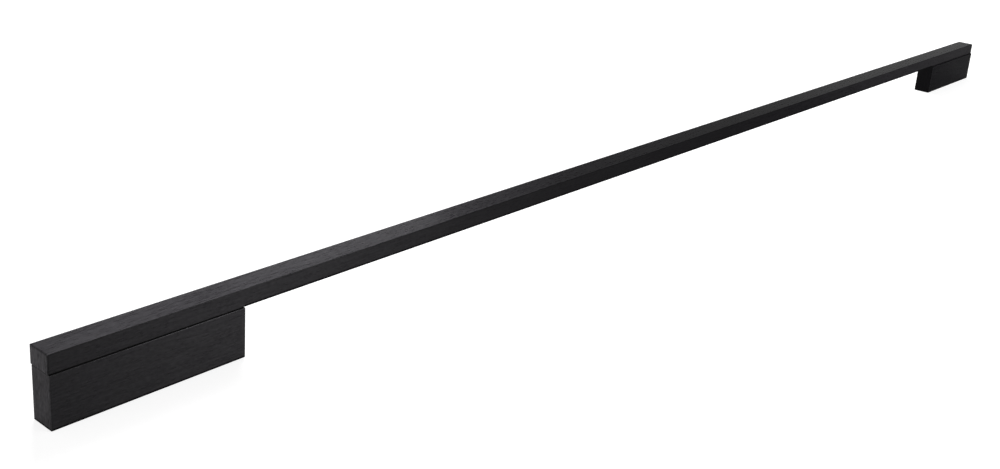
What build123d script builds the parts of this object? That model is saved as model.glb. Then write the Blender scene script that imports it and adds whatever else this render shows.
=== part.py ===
from build123d import *
from math import radians, tan
import os

os.makedirs("parts", exist_ok=True)

# Long slim cabinet pull: a solid flat bar on two long block feet, in millimetres.
# The origin is midway between the two door holes, on the face of the door.
# +X runs along the bar, +Y across it to the back, and +Z points away from the door.

# Bar
bar_length = 1100.0
bar_width = 15.0
bar_height = 10.0
bar_edge_radius = 0.4  # every edge of the bar, softened before it is brushed
bar_roof = 3.0  # metal above the straight walls of the tapped holes, which the drill point enters

# Feet
foot_length = 108.0
foot_width = 15.0
foot_height = 28.0
foot_forward = 0.8  # the feet stand this far in front of the bar's front face
foot_edge_radius = 0.4  # upright and top edges, which leave a fine groove under the bar
foot_base_chamfer = 0.3  # edges that lie against the door

# Blind tapped holes, M4, for the two door screws in the feet and for the foot screws in the bar
thread_radius = 2.0
thread_clearance = 0.05  # between a screw's crests and the wall of its tapped hole
mouth_chamfer = 0.4
drill_point_angle = 118.0
door_hole_depth = 14.0  # to the end of the straight wall

# Screws that hold a foot to the bar, M4 socket head
screw_length = 20.0  # under the head
screw_head_radius = 3.5
screw_head_height = 4.0
screw_head_chamfer = 0.4
screw_tip_chamfer = 0.6
screw_tip_gap = 1.0  # from the screw's tip to the end of the tapped wall
socket_across_flats = 3.0
socket_depth = 2.0
screw_end_margin = 16.0  # from a screw's axis to the nearer end of the foot
shank_clearance = 0.25
head_clearance = 0.5
seat_edge_chamfer = 0.3  # at the mouth of each counterbore

# Worked out from the sizes above
foot_centre = (bar_length - foot_length) / 2  # outer faces of feet and bar are flush
screw_offset = foot_length / 2 - screw_end_margin
bar_centre_y = foot_forward + (bar_width - foot_width) / 2
bar_hole_depth = bar_height - bar_roof
screw_reach = bar_hole_depth - screw_tip_gap
screw_seat = foot_height + screw_reach - screw_length
tapped_radius = thread_radius + thread_clearance
counterbore_radius = screw_head_radius + head_clearance


def point_depth(radius):
    """How deep the conical end of a drilled hole of this radius is."""
    return radius / tan(radians(drill_point_angle / 2))


def make_tapped_hole(wall_depth):
    """The metal that a tapped hole takes away, with its mouth at the origin and its point up."""
    with BuildPart() as tapped_hole:
        with BuildSketch(Plane.XZ):
            with BuildLine():
                Polyline(
                    (0, 0),
                    (tapped_radius + mouth_chamfer, 0),
                    (tapped_radius, mouth_chamfer),
                    (tapped_radius, wall_depth),
                    (0, wall_depth + point_depth(tapped_radius)),
                    close=True,
                )
            make_face()
        revolve(axis=Axis.Z)
    return tapped_hole.part


door_hole = make_tapped_hole(door_hole_depth)
bar_hole = make_tapped_hole(bar_hole_depth)


def make_foot(centre_x):
    """A solid block with two counterbored screw holes and one tapped door hole in its underside."""
    with BuildPart() as foot:
        with BuildSketch(Plane((centre_x, 0, 0))):
            Rectangle(foot_length, foot_width)
        extrude(amount=foot_height)
        base_edges = foot.faces().sort_by(Axis.Z)[0].edges()
        fillet(foot.edges() - base_edges, foot_edge_radius)
        chamfer(foot.faces().sort_by(Axis.Z)[0].edges(), foot_base_chamfer)
        for axis_x in (centre_x - screw_offset, centre_x + screw_offset):
            with Locations(Plane(origin=(axis_x, 0, 0), x_dir=(1, 0, 0), z_dir=(0, 0, -1))):
                CounterBoreHole(
                    radius=thread_radius + shank_clearance,
                    counter_bore_radius=counterbore_radius,
                    counter_bore_depth=screw_seat,
                )
            chamfer(foot.edges(Select.LAST).sort_by(Axis.Z)[0], seat_edge_chamfer)
        with Locations((centre_x, 0, 0)):
            add(door_hole, mode=Mode.SUBTRACT)
    return foot


def make_foot_screw(axis_x):
    """A socket head cap screw, seated on the floor of its counterbore and pointing up."""
    head_bottom = screw_seat - screw_head_height
    socket_radius = socket_across_flats / 2
    with BuildPart() as foot_screw:
        with BuildSketch(Plane(origin=(axis_x, 0, screw_seat), x_dir=(1, 0, 0), z_dir=(0, -1, 0))):
            with BuildLine():
                Polyline(
                    (0, -screw_head_height),
                    (screw_head_radius - screw_head_chamfer, -screw_head_height),
                    (screw_head_radius, screw_head_chamfer - screw_head_height),
                    (screw_head_radius, 0),
                    (thread_radius, 0),
                    (thread_radius, screw_length - screw_tip_chamfer),
                    (thread_radius - screw_tip_chamfer, screw_length),
                    (0, screw_length),
                    close=True,
                )
            make_face()
        revolve(axis=Axis((axis_x, 0, 0), (0, 0, 1)))
        with BuildSketch(Plane((axis_x, 0, head_bottom))):
            RegularPolygon(socket_radius, side_count=6, major_radius=False)
        extrude(amount=socket_depth, mode=Mode.SUBTRACT)
        with BuildSketch(Plane(origin=(axis_x, 0, head_bottom), x_dir=(1, 0, 0), z_dir=(0, -1, 0))):
            with BuildLine():
                Polyline(
                    (0, socket_depth),
                    (socket_radius, socket_depth),
                    (0, socket_depth + point_depth(socket_radius)),
                    close=True,
                )
            make_face()
        revolve(axis=Axis((axis_x, 0, 0), (0, 0, 1)), mode=Mode.SUBTRACT)
    return foot_screw


# Bar
screw_axes = {
    "left_outer_screw": -foot_centre - screw_offset,
    "left_inner_screw": -foot_centre + screw_offset,
    "right_inner_screw": foot_centre - screw_offset,
    "right_outer_screw": foot_centre + screw_offset,
}

with BuildPart() as bar:
    with BuildSketch(Plane.YZ.offset(-bar_length / 2)):
        with Locations((bar_centre_y, foot_height + bar_height / 2)):
            Rectangle(bar_width, bar_height)
    extrude(amount=bar_length)
    fillet(bar.edges(), bar_edge_radius)
    with Locations(*[(axis_x, 0, foot_height) for axis_x in screw_axes.values()]):
        add(bar_hole, mode=Mode.SUBTRACT)
bar.part.label = "bar"
export_step(bar.part, "parts/bar.step")

# Feet
left_foot = make_foot(-foot_centre)
left_foot.part.label = "left_foot"
export_step(left_foot.part, "parts/left_foot.step")

right_foot = make_foot(foot_centre)
right_foot.part.label = "right_foot"
export_step(right_foot.part, "parts/right_foot.step")

# Foot screws
for screw_name, axis_x in screw_axes.items():
    foot_screw = make_foot_screw(axis_x)
    foot_screw.part.label = screw_name
    export_step(foot_screw.part, f"parts/{screw_name}.step")
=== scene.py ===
import math

import bpy
import numpy as np
from mathutils import Matrix, Vector


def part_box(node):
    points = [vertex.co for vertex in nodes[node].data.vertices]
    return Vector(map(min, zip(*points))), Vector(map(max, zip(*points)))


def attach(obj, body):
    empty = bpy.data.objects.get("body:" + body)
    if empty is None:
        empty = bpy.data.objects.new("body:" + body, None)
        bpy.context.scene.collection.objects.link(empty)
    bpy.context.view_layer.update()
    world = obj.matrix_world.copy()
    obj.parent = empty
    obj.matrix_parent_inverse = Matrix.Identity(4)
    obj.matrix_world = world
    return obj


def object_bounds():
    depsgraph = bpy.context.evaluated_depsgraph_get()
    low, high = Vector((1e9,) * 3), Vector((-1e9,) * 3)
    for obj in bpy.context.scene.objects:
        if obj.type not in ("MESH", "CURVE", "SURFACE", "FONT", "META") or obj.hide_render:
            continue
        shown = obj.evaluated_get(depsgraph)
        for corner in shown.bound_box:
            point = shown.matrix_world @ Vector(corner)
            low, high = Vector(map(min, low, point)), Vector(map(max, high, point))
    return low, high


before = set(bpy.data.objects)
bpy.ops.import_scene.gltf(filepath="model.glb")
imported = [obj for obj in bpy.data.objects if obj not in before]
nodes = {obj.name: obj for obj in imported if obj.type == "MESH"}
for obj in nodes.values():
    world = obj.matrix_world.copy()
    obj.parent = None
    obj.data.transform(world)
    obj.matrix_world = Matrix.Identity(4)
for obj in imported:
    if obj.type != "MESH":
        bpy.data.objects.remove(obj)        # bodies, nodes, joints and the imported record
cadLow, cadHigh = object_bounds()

# Long slim cabinet pull in black brushed aluminium, one unit is one metre.
# +X runs along the bar, +Y across it to the back, +Z away from the door.
mm = 0.001
scene = bpy.context.scene
pullLength = cadHigh[0] - cadLow[0]
scene.view_settings.view_transform = "Standard"


# Small helpers for node trees

def give(tree, socket, value):
    # a value that is another node's output is linked, and any other is set
    if isinstance(value, bpy.types.NodeSocket):
        tree.links.new(value, socket)
    else:
        socket.default_value = value


def addNode(tree, kind, inputs=None, **settings):
    node = tree.nodes.new(kind)
    for name, value in settings.items():
        setattr(node, name, value)
    for name, value in (inputs or {}).items():
        give(tree, node.inputs[name], value)
    return node


def mathNode(tree, operation, first, second=None, clamp=False):
    node = addNode(tree, "ShaderNodeMath", operation=operation, use_clamp=clamp)
    give(tree, node.inputs[0], first)
    if second is not None:
        give(tree, node.inputs[1], second)
    return node.outputs[0]


def rangeNode(tree, value, fromLow, fromHigh, toLow, toHigh, smooth=False):
    limits = {"From Min": fromLow, "From Max": fromHigh, "To Min": toLow, "To Max": toHigh}
    node = addNode(tree, "ShaderNodeMapRange", {"Value": value, **limits},
                   interpolation_type="SMOOTHSTEP" if smooth else "LINEAR")
    return node.outputs["Result"]


def mixNode(tree, kind, share, first, second):
    # the node has sockets A, B and Result of every kind, so they are picked by their type
    node = addNode(tree, "ShaderNodeMix", {"Factor": share}, data_type=kind)
    socketType = "VALUE" if kind == "FLOAT" else kind
    ends = [socket for socket in node.inputs if socket.type == socketType and socket.name in "AB"]
    for socket, value in zip(ends, (first, second)):
        give(tree, socket, value)
    return next(socket for socket in node.outputs if socket.type == socketType)


def newGroup(name, inputs, outputs):
    group = bpy.data.node_groups.new(name, "ShaderNodeTree")
    for socketName, value in inputs.items():
        kind = "NodeSocketVector" if isinstance(value, tuple) else "NodeSocketFloat"
        group.interface.new_socket(socketName, in_out="INPUT", socket_type=kind).default_value = value
    for socketName, kind in outputs.items():
        group.interface.new_socket(socketName, in_out="OUTPUT", socket_type=kind)
    return group, group.nodes.new("NodeGroupInput"), group.nodes.new("NodeGroupOutput")


def placeGroup(tree, group, inputs):
    return addNode(tree, "ShaderNodeGroup", inputs, node_tree=group)


faceLimit = 0.7  # a face looks along an axis where its normal's part along it is larger than this


def readSurface(tree):
    # the place of a point, the parts of that place, and those of the direction that its face looks in
    coordinates = addNode(tree, "ShaderNodeTexCoord")
    place = addNode(tree, "ShaderNodeSeparateXYZ", {"Vector": coordinates.outputs["Object"]})
    facing = addNode(tree, "ShaderNodeSeparateXYZ", {"Vector": coordinates.outputs["Normal"]})
    return coordinates.outputs["Object"], place.outputs, facing.outputs


def findEndFaces(tree, facing):
    # 1 on faces that look along X
    return mathNode(tree, "GREATER_THAN", mathNode(tree, "ABSOLUTE", facing["X"]), faceLimit)


# Effects that the finishes share, as shader node groups

grainValues = {
    "layers": (  # length and width in streaks, and share of the whole
        (0.6, 0.2, 0.17),
        (1.0, 1.0, 0.41),
        (5.0, 1.4, 0.27),
        (16.0, 3.0, 0.15),
    ),
    "middle": 0.5,  # the contrast swings about this value
}


def makeBrushedGrain(values=grainValues):
    # Four layers of stretched noise, each longer and wider than the last. The streaks run along X, and
    # along Z on faces that look along X. On faces that look up they are Top Scale times as large and Top
    # Contrast times as strong
    group, given, result = newGroup(
        "brushedGrain",
        {"Streak Length": 1.0 * mm, "Streak Width": 1.0 * mm, "Top Scale": 1.0, "Top Contrast": 1.0,
         "Seed": 0.0},
        {"Grain": "NodeSocketFloat"},
    )
    _, place, facing = readSurface(group)
    endFace = findEndFaces(group, facing)
    along = mixNode(group, "FLOAT", endFace, place["X"], place["Z"])
    across = mixNode(group, "FLOAT", endFace, mathNode(group, "ADD", place["Y"], place["Z"]), place["Y"])
    looksUp = mathNode(group, "GREATER_THAN", facing["Z"], faceLimit)
    scale = mixNode(group, "FLOAT", looksUp, 1.0, given.outputs["Top Scale"])
    streakLength = mathNode(group, "MULTIPLY", given.outputs["Streak Length"], scale)
    streakWidth = mathNode(group, "MULTIPLY", given.outputs["Streak Width"], scale)
    total = None
    for lengthTimes, widthTimes, share in values["layers"]:
        length = mathNode(group, "MULTIPLY", streakLength, lengthTimes)
        width = mathNode(group, "MULTIPLY", streakWidth, widthTimes)
        vector = addNode(group, "ShaderNodeCombineXYZ", {
            "X": mathNode(group, "DIVIDE", along, length),
            "Y": mathNode(group, "DIVIDE", across, width),
            "Z": mathNode(group, "ADD", given.outputs["Seed"], lengthTimes),
        })
        noise = addNode(group, "ShaderNodeTexNoise",
                        {"Vector": vector.outputs[0], "Scale": 1.0, "Detail": 1.0})
        part = mathNode(group, "MULTIPLY", noise.outputs["Fac"], share)
        total = part if total is None else mathNode(group, "ADD", total, part)
    contrast = mixNode(group, "FLOAT", looksUp, 1.0, given.outputs["Top Contrast"])
    swing = mathNode(group, "MULTIPLY", mathNode(group, "SUBTRACT", total, values["middle"]), contrast)
    group.links.new(mathNode(group, "ADD", swing, values["middle"], clamp=True), result.inputs["Grain"])
    return group


maskValues = {
    "fullEdge": 0.4,  # share of an edge's width in which it has its full strength
    "tie": 0.01 * mm,  # distances closer than this count as equal
    "flatTop": 0.8,  # as faceLimit, for the top beside its front edge
    "outerRim": 0.5 * mm,  # how far the outer ends' painted light reaches round their edges
    "innerStart": 1.0 * mm,  # from an outer end, past which a face that looks along X is an inner end
}


def makeFaceMasks(values=maskValues):
    # What the place and the normal say about a point of a block. Edge is 1 along the block's edges and 0
    # away from them, and marks the painted shade along them: the distance to the nearest edge is the
    # middle one of the three distances, along X, Y and Z, to the faces of the box. An edge lies at the top
    # or the base where the distance along Z is no larger than that
    group, given, result = newGroup(
        "faceMasks",
        {"Centre": (0.0, 0.0, 0.0), "Half Size": (1.0, 1.0, 1.0), "Edge Width": 1.0 * mm,
         "Base Width": 1.0 * mm, "Upper": 1.0, "Upright": 1.0, "Lower": 1.0,
         "Joint Start": pullLength / 2, "Joint": 1.0},
        {"Edge": "NodeSocketFloat", "Painted Light End": "NodeSocketFloat", "Painted Shade Face": "NodeSocketFloat"},
    )
    point, place, facing = readSurface(group)
    centred = addNode(group, "ShaderNodeVectorMath", operation="SUBTRACT")
    give(group, centred.inputs[0], point)
    give(group, centred.inputs[1], given.outputs["Centre"])
    fromCentre = addNode(group, "ShaderNodeSeparateXYZ", {"Vector": centred.outputs[0]}).outputs
    halfSize = addNode(group, "ShaderNodeSeparateXYZ", {"Vector": given.outputs["Half Size"]}).outputs
    toFace = {axis: mathNode(group, "SUBTRACT", halfSize[axis],
                             mathNode(group, "ABSOLUTE", fromCentre[axis])) for axis in "XYZ"}
    smaller = mathNode(group, "MINIMUM", toFace["X"], toFace["Y"])
    larger = mathNode(group, "MAXIMUM", toFace["X"], toFace["Y"])
    middle = mathNode(group, "MAXIMUM", smaller, mathNode(group, "MINIMUM", larger, toFace["Z"]))
    lyingEdge = mathNode(group, "LESS_THAN", mathNode(group, "SUBTRACT", toFace["Z"], middle),
                         values["tie"])
    aboveCentre = mathNode(group, "GREATER_THAN", fromCentre["Z"], 0.0)
    atTop = mathNode(group, "MULTIPLY", lyingEdge, aboveCentre)
    atBase = mathNode(group, "SUBTRACT", lyingEdge, atTop)
    width = mixNode(group, "FLOAT", atBase, given.outputs["Edge Width"], given.outputs["Base Width"])
    fullWidth = mathNode(group, "MULTIPLY", width, values["fullEdge"])
    edge = rangeNode(group, middle, fullWidth, width, 1.0, 0.0, smooth=True)

    # painted shade: upper, upright and lower edges are darkened by shares of their own, and the lower ones
    # by another where a foot meets the bar
    fromMiddle = mathNode(group, "ABSOLUTE", place["X"])
    atJoint = mathNode(group, "GREATER_THAN", fromMiddle, given.outputs["Joint Start"])
    lower = mixNode(group, "FLOAT", atJoint, given.outputs["Lower"],
                    mathNode(group, "MULTIPLY", given.outputs["Lower"], given.outputs["Joint"]))
    share = mixNode(group, "FLOAT", atTop, given.outputs["Upright"], given.outputs["Upper"])
    share = mixNode(group, "FLOAT", atBase, share, lower)
    # the top keeps its brightness beside its front edge, where light skims over it
    looksUp = mathNode(group, "GREATER_THAN", facing["Z"], values["flatTop"])
    fromFront = mathNode(group, "ADD", halfSize["Y"], fromCentre["Y"])
    nearFront = mathNode(group, "LESS_THAN", fromFront, given.outputs["Edge Width"])
    share = mathNode(group, "MULTIPLY", share,
                     mathNode(group, "SUBTRACT", 1.0, mathNode(group, "MULTIPLY", looksUp, nearFront)))
    group.links.new(mathNode(group, "MULTIPLY", edge, share), result.inputs["Edge"])

    # the outer ends, where a lighter tone paints light
    inset = mathNode(group, "SUBTRACT", pullLength / 2, fromMiddle)
    outerEnd = rangeNode(group, inset, 0.0, values["outerRim"], 1.0, 0.0, smooth=True)
    # painted shade: the undersides and the inner ends, which take a darker tone
    innerEnd = mathNode(group, "MULTIPLY", findEndFaces(group, facing),
                        mathNode(group, "GREATER_THAN", inset, values["innerStart"]))
    underside = mathNode(group, "LESS_THAN", facing["Z"], -faceLimit)
    group.links.new(outerEnd, result.inputs["Painted Light End"])
    group.links.new(mathNode(group, "MAXIMUM", innerEnd, underside), result.inputs["Painted Shade Face"])
    return group


brushedGrain = makeBrushedGrain()
faceMasks = makeFaceMasks()
print("node groups made")


# Finishes

blackAluminium = {
    "tone": (0.0160, 0.0155, 0.0165),  # brushed faces
    "paintedLightEndTone": (0.0620, 0.0594, 0.0627),  # ends of bar and feet, lightened as painted light that stands in for a bright reflection
    "paintedShadeTone": (0.0055, 0.0053, 0.0058),  # undersides and the feet's inner ends, darkened as painted shade
    # painted shade along the edges, widest along the base
    "edgeShadeTone": (0.004, 0.004, 0.0042),
    "grainWindow": (0.38, 0.70),  # values of the grain that count as its darkest and lightest streaks
    "grainDepth": 0.18,  # how far the grain lightens and darkens the tone
    "endGrainDepth": 0.46,  # the same on the outer ends
    "metal": (0.765, 1.0),  # Metallic at the grain's dark and light streaks
    "edgeTint": (0.453, 0.4535, 0.4535, 1.0),  # how bright the metal stays where it is seen almost edge-on
    "roughness": (0.27, 0.34),
    "stretch": 0.9,  # anisotropy of the brushing
    "bumpHeight": 0.05 * mm,
    "streaks": {"Streak Length": 2.8 * mm, "Streak Width": 0.65 * mm,
                "Top Scale": 1.6, "Top Contrast": 1.55},
    "edges": {"Edge Width": 0.9 * mm, "Base Width": 1.6 * mm, "Joint Start": 442.0 * mm},
}
# For each block: how strongly painted shade darkens its upper, upright and lower edges, and how much of
# the last is left where a foot meets the bar. Then how much of the tone its faces and its outer end have,
# which paints light and shade block by block: the far foot's faces are darkened as painted shade
blockValues = {
    "bar": {
        "edgeShadeShares": {"Upper": 0.3, "Upright": 0.5, "Lower": 0.9, "Joint": 0.0},
        "lightAndShadeShares": (0.88, 1.05),
        "seed": 0.0,
    },
    "left_foot": {
        "edgeShadeShares": {"Upper": 0.0, "Upright": 0.2, "Lower": 0.8, "Joint": 1.0},
        "lightAndShadeShares": (0.96, 0.88),
        "seed": 3.1,
    },
    "right_foot": {
        "edgeShadeShares": {"Upper": 0.0, "Upright": 0.2, "Lower": 0.8, "Joint": 1.0},
        # the far foot's faces are darkened as painted shade
        "lightAndShadeShares": (0.55, 0.88),
        "seed": 6.2,
    },
}


def startMaterial(name):
    material = bpy.data.materials.new(name)
    material.use_nodes = True
    tree = material.node_tree
    return material, tree, tree.nodes["Principled BSDF"]


def colour(tone, times=1.0):
    return tuple(part * times for part in tone) + (1.0,)


def makeBlackAluminium(node, block, values=blackAluminium):
    material, tree, metal = startMaterial(node + "_aluminium")
    low, high = (np.array(corner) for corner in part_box(node))
    streaks = placeGroup(tree, brushedGrain, {**values["streaks"], "Seed": block["seed"]})
    grain = streaks.outputs["Grain"]
    blockBox = {"Centre": tuple((low + high) / 2), "Half Size": tuple((high - low) / 2)}
    masks = placeGroup(tree, faceMasks, {**values["edges"], **block["edgeShadeShares"], **blockBox})
    share = rangeNode(tree, grain, *values["grainWindow"], 0.0, 1.0)

    def grained(tone, depth=values["grainDepth"]):
        return mixNode(tree, "RGBA", share, colour(tone, 1 - depth), colour(tone, 1 + depth))

    # each block's shares paint light and shade on its tones
    faceTone, endPaintedLight = (tuple(part * kept for part in values[key])
                         for key, kept in zip(("tone", "paintedLightEndTone"), block["lightAndShadeShares"]))
    # painted shade: undersides and inner ends take a darker tone
    tone = mixNode(tree, "RGBA", masks.outputs["Painted Shade Face"], grained(faceTone),
                   grained(values["paintedShadeTone"]))
    # painted light: the outer ends take a lighter tone
    tone = mixNode(tree, "RGBA", masks.outputs["Painted Light End"], tone,
                   grained(endPaintedLight, values["endGrainDepth"]))
    # painted shade: the edges take a near-black tone
    tone = mixNode(tree, "RGBA", masks.outputs["Edge"], tone, colour(values["edgeShadeTone"]))
    tree.links.new(tone, metal.inputs["Base Color"])
    tree.links.new(mixNode(tree, "FLOAT", share, *values["roughness"]), metal.inputs["Roughness"])
    bump = addNode(tree, "ShaderNodeBump",
                   {"Strength": 1.0, "Distance": values["bumpHeight"], "Height": grain})
    tree.links.new(bump.outputs["Normal"], metal.inputs["Normal"])
    # the grain's cross direction: round the X axis, and round the Z axis on the ends
    _, _, facing = readSurface(tree)
    endFace = findEndFaces(tree, facing)
    roundX = addNode(tree, "ShaderNodeTangent", direction_type="RADIAL", axis="X").outputs["Tangent"]
    roundZ = addNode(tree, "ShaderNodeTangent", direction_type="RADIAL", axis="Z").outputs["Tangent"]
    tree.links.new(mixNode(tree, "VECTOR", endFace, roundX, roundZ), metal.inputs["Tangent"])
    metal.inputs["Anisotropic"].default_value = values["stretch"]
    # the painted edge shade also takes the metal away along the edges
    metallic = mathNode(tree, "MULTIPLY", mixNode(tree, "FLOAT", share, *values["metal"]),
                        mathNode(tree, "SUBTRACT", 1.0, masks.outputs["Edge"]))
    tree.links.new(metallic, metal.inputs["Metallic"])
    metal.inputs["Specular IOR Level"].default_value = 0.0
    metal.inputs["Specular Tint"].default_value = values["edgeTint"]
    return material


screwSteel = {
    "darkTone": (0.30, 0.30, 0.31),
    "lightTone": (0.48, 0.48, 0.49),
    "grainWindow": (0.3, 0.7),
    "roughness": (0.30, 0.45),
    "streaks": {"Streak Length": 0.6 * mm, "Streak Width": 0.2 * mm,
                "Top Scale": 1.6, "Top Contrast": 1.55},
}


def makeScrewSteel(values=screwSteel):
    material, tree, metal = startMaterial("screwSteel")
    grain = placeGroup(tree, brushedGrain, values["streaks"]).outputs["Grain"]
    share = rangeNode(tree, grain, *values["grainWindow"], 0.0, 1.0)
    tone = mixNode(tree, "RGBA", share, colour(values["darkTone"]), colour(values["lightTone"]))
    tree.links.new(tone, metal.inputs["Base Color"])
    tree.links.new(mixNode(tree, "FLOAT", share, *values["roughness"]), metal.inputs["Roughness"])
    metal.inputs["Metallic"].default_value = 1.0
    return material


steel = makeScrewSteel()
finishes = {node: makeBlackAluminium(node, block) for node, block in blockValues.items()}
for name, node in nodes.items():
    for place in range(len(node.material_slots)):
        node.material_slots[place].material = finishes.get(name, steel)
print("finishes given")


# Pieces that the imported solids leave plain: thread ridges and knurled bands

def makePiece(name, sections, material, ringShaped=False):
    # Sections of points, shape (section, point, xyz), joined by quads. The last section meets the first
    # in a ring-shaped piece, and elsewhere both ends are closed by a face
    sectionCount, pointCount, _ = sections.shape
    corners = np.arange(sectionCount * pointCount).reshape(sectionCount, pointCount)
    near, far = (corners, np.roll(corners, -1, axis=0)) if ringShaped else (corners[:-1], corners[1:])
    quads = np.stack([near, far, np.roll(far, -1, axis=1), np.roll(near, -1, axis=1)], axis=-1)
    caps = [] if ringShaped else [corners[0].tolist(), corners[-1][::-1].tolist()]
    mesh = bpy.data.meshes.new(name)
    mesh.from_pydata(sections.reshape(-1, 3).tolist(), [], quads.reshape(-1, 4).tolist() + caps)
    mesh.materials.append(material)
    piece = bpy.data.objects.new(name, mesh)
    scene.collection.objects.link(piece)
    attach(piece, "root")


doorThread = {
    "pitch": 0.7 * mm,  # M4
    "wallRadius": 2.05 * mm,  # of the drilled wall that the ridge grows from
    "crestRadius": 1.62 * mm,
    "rootWidth": 0.61 * mm,
    "crestWidth": 0.18 * mm,
    "sunk": 0.04 * mm,  # how far the ridge's foot reaches into the metal
    "start": 0.9 * mm,  # height of the first full turn, above the chamfered mouth
    "turns": 17,
    "fadeTurns": 0.8,  # over which the ridge grows at each end
    "stepsPerTurn": 40,
    "centreX": 496.0 * mm,
}


def makeDoorThread(name, centreX, material, values=doorThread):
    # A trapezium carried along a helix: turn t stands at height start + pitch t, and the crest's distance
    # from the axis falls from the wall's radius to crestRadius over fadeTurns at each end
    turns = np.linspace(0.0, values["turns"], values["turns"] * values["stepsPerTurn"] + 1)
    fade = np.clip(np.minimum(turns, values["turns"] - turns) / values["fadeTurns"], 0.0, 1.0)
    foot = values["wallRadius"] + values["sunk"]
    crest = values["wallRadius"] + (values["crestRadius"] - values["wallRadius"]) * fade
    halfRoot, halfCrest = values["rootWidth"] / 2, values["crestWidth"] / 2
    radius = np.stack([np.full_like(turns, foot), crest, crest, np.full_like(turns, foot)], axis=1)
    profile = np.array([halfRoot, halfCrest, -halfCrest, -halfRoot])
    height = values["start"] + values["pitch"] * turns[:, None] + profile
    angle = 2 * math.pi * turns[:, None]
    sections = np.stack([centreX + radius * np.cos(angle), radius * np.sin(angle), height], axis=-1)
    makePiece(name, sections, material)


for side, name in ((-1, "left_door_thread"), (1, "right_door_thread")):
    foot = "left_foot" if side < 0 else "right_foot"
    makeDoorThread(name, side * doorThread["centreX"], finishes[foot])


headKnurl = {
    "grooves": 44,
    "depth": 0.10 * mm,
    "crestRadius": 3.60 * mm,
    "innerRadius": 3.40 * mm,  # inside the solid head
    "foot": 0.9 * mm,  # from the head's chamfered face to the start of the band
    "width": 2.8 * mm,
    "bevel": 0.15 * mm,
    "stepsPerGroove": 6,
}


def makeHeadKnurl(name, screw, material, values=headKnurl):
    # A band round the head: its radius falls by depth x |sin| of half the groove angle, and its two rims
    # are bevelled down to the solid head
    low, high = (np.array(corner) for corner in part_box(screw))
    centre = (low + high) / 2
    angle = np.linspace(0.0, 2 * math.pi, values["grooves"] * values["stepsPerGroove"], endpoint=False)
    crest = values["crestRadius"] - values["depth"] * np.abs(np.sin(angle * values["grooves"] / 2))
    start = low[2] + values["foot"]
    end = start + values["width"]
    bevel = values["bevel"]
    rows = [(values["innerRadius"], start), (crest - bevel, start), (crest, start + bevel),
            (crest, end - bevel), (crest - bevel, end), (values["innerRadius"], end)]
    rings = [np.stack([centre[0] + radius * np.cos(angle), centre[1] + radius * np.sin(angle),
                       np.full_like(angle, height)], axis=-1) for radius, height in rows]
    sections = np.stack(rings, axis=1)
    makePiece(name, sections, material, ringShaped=True)


for screw in ("left_outer_screw", "left_inner_screw", "right_inner_screw", "right_outer_screw"):
    makeHeadKnurl(screw.replace("screw", "knurl"), screw, steel)
print("threads and knurls made")


# Camera, at the photograph's viewing angle

cameraValues = {
    "location": (-0.79819, -0.46012, 0.30263),
    "azimuth": 50.480,  # of the line of sight, from +Y towards +X
    "elevation": 18.036,  # of the camera above the line's far end
    "roll": -4.313,
    "focalPixels": 1225.53,
    "centrePixelY": 154.5,  # image row that the line of sight meets
    "frame": (1000, 469),
    "sensorWidth": 36.0,
    "clip": (0.01, 200.0),
}


def makeCamera(values=cameraValues):
    azimuth, elevation, roll = (math.radians(values[key]) for key in ("azimuth", "elevation", "roll"))
    forward = np.array([math.sin(azimuth) * math.cos(elevation), math.cos(azimuth) * math.cos(elevation),
                        -math.sin(elevation)])
    right = np.array([math.cos(azimuth), -math.sin(azimuth), 0.0])
    down = np.cross(forward, right)
    rolledRight = math.cos(roll) * right + math.sin(roll) * down
    rolledDown = -math.sin(roll) * right + math.cos(roll) * down
    frameWidth, frameHeight = values["frame"]
    data = bpy.data.cameras.new("camera")
    data.sensor_fit = "HORIZONTAL"
    data.sensor_width = values["sensorWidth"]
    data.lens = values["focalPixels"] / frameWidth * values["sensorWidth"]
    data.shift_y = (values["centrePixelY"] - frameHeight / 2) / frameWidth
    data.clip_start, data.clip_end = values["clip"]
    camera = bpy.data.objects.new("camera", data)
    turn = Matrix((rolledRight, -rolledDown, -forward)).transposed().to_4x4()
    camera.matrix_world = Matrix.Translation(values["location"]) @ turn
    scene.collection.objects.link(camera)
    scene.camera = camera


makeCamera()


# Floor, background and lights

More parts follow.
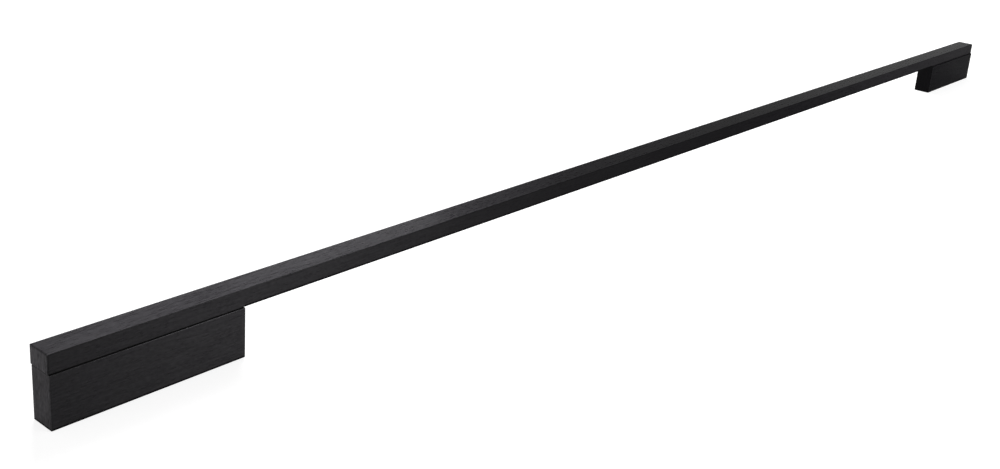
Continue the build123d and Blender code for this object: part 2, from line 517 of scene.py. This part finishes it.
floorValues = {
    "halfWidth": 40.0,
    "colour": (0.4, 0.4, 0.4, 1.0),
    "lift": 0.83,  # added to what the camera sees of the floor, so that it reads as white
}
backgroundLight = 0.25  # of the world, where it lights surfaces
lightValues = {
    "backLight": {"location": (1.09, 1.56, 1.62), "size": 1.40, "watts": 80.0},
    "frontLight": {"location": (1.12, -2.18, 0.45), "size": 0.78, "watts": 42.0},
    "lowLight": {"location": (1.32, 2.07, 0.45), "size": 0.60, "watts": 11.6},
    "endLight": {"location": (-2.36, 0.25, 0.80), "size": 0.52, "watts": 3.2},
    "farLight": {"location": (1.81, 0.72, 1.57), "size": 0.83, "watts": 9.0},
    "cornerLight": {"location": (2.27, -0.90, 0.16), "size": 0.20, "watts": 13.0},
    "tipLight": {"location": (2.40, 0.75, 0.80), "size": 0.20, "watts": 0.26},
}


def seenShare(tree):
    # 1 for what the camera sees, directly, in a mirror or through glass
    path = addNode(tree, "ShaderNodeLightPath")
    seen = mathNode(tree, "MAXIMUM", path.outputs["Is Camera Ray"], path.outputs["Is Glossy Ray"])
    return mathNode(tree, "MAXIMUM", seen, path.outputs["Is Transmission Ray"])


def makeFloor(values=floorValues):
    half = values["halfWidth"]
    mesh = bpy.data.meshes.new("floor")
    corners = [(-half, -half, 0), (half, -half, 0), (half, half, 0), (-half, half, 0)]
    mesh.from_pydata(corners, [], [(0, 1, 2, 3)])
    floor = bpy.data.objects.new("floor", mesh)
    scene.collection.objects.link(floor)
    material, tree, paint = startMaterial("floorWhite")
    paint.inputs["Base Color"].default_value = values["colour"]
    paint.inputs["Roughness"].default_value = 1.0
    paint.inputs["Specular IOR Level"].default_value = 0.0
    paint.inputs["Emission Color"].default_value = (1.0, 1.0, 1.0, 1.0)
    lift = mathNode(tree, "MULTIPLY", seenShare(tree), values["lift"])
    tree.links.new(lift, paint.inputs["Emission Strength"])
    mesh.materials.append(material)


def makeWorld():
    world = bpy.data.worlds.new("studio")
    world.use_nodes = True
    tree = world.node_tree
    background = tree.nodes["Background"]
    background.inputs["Color"].default_value = (1.0, 1.0, 1.0, 1.0)
    strength = rangeNode(tree, seenShare(tree), 0.0, 1.0, backgroundLight, 1.0)
    tree.links.new(strength, background.inputs["Strength"])
    scene.world = world


def makeLight(name, values):
    data = bpy.data.lights.new(name, "AREA")
    data.size = values["size"]
    data.energy = values["watts"]
    light = bpy.data.objects.new(name, data)
    aim = Vector(values["location"])  # every lamp looks at the origin
    light.matrix_world = Matrix.Translation(aim) @ aim.to_track_quat("Z", "Y").to_matrix().to_4x4()
    light.visible_camera = False
    scene.collection.objects.link(light)


makeFloor()
makeWorld()
for lightName, values in lightValues.items():
    makeLight(lightName, values)
print("camera, floor and lights made")
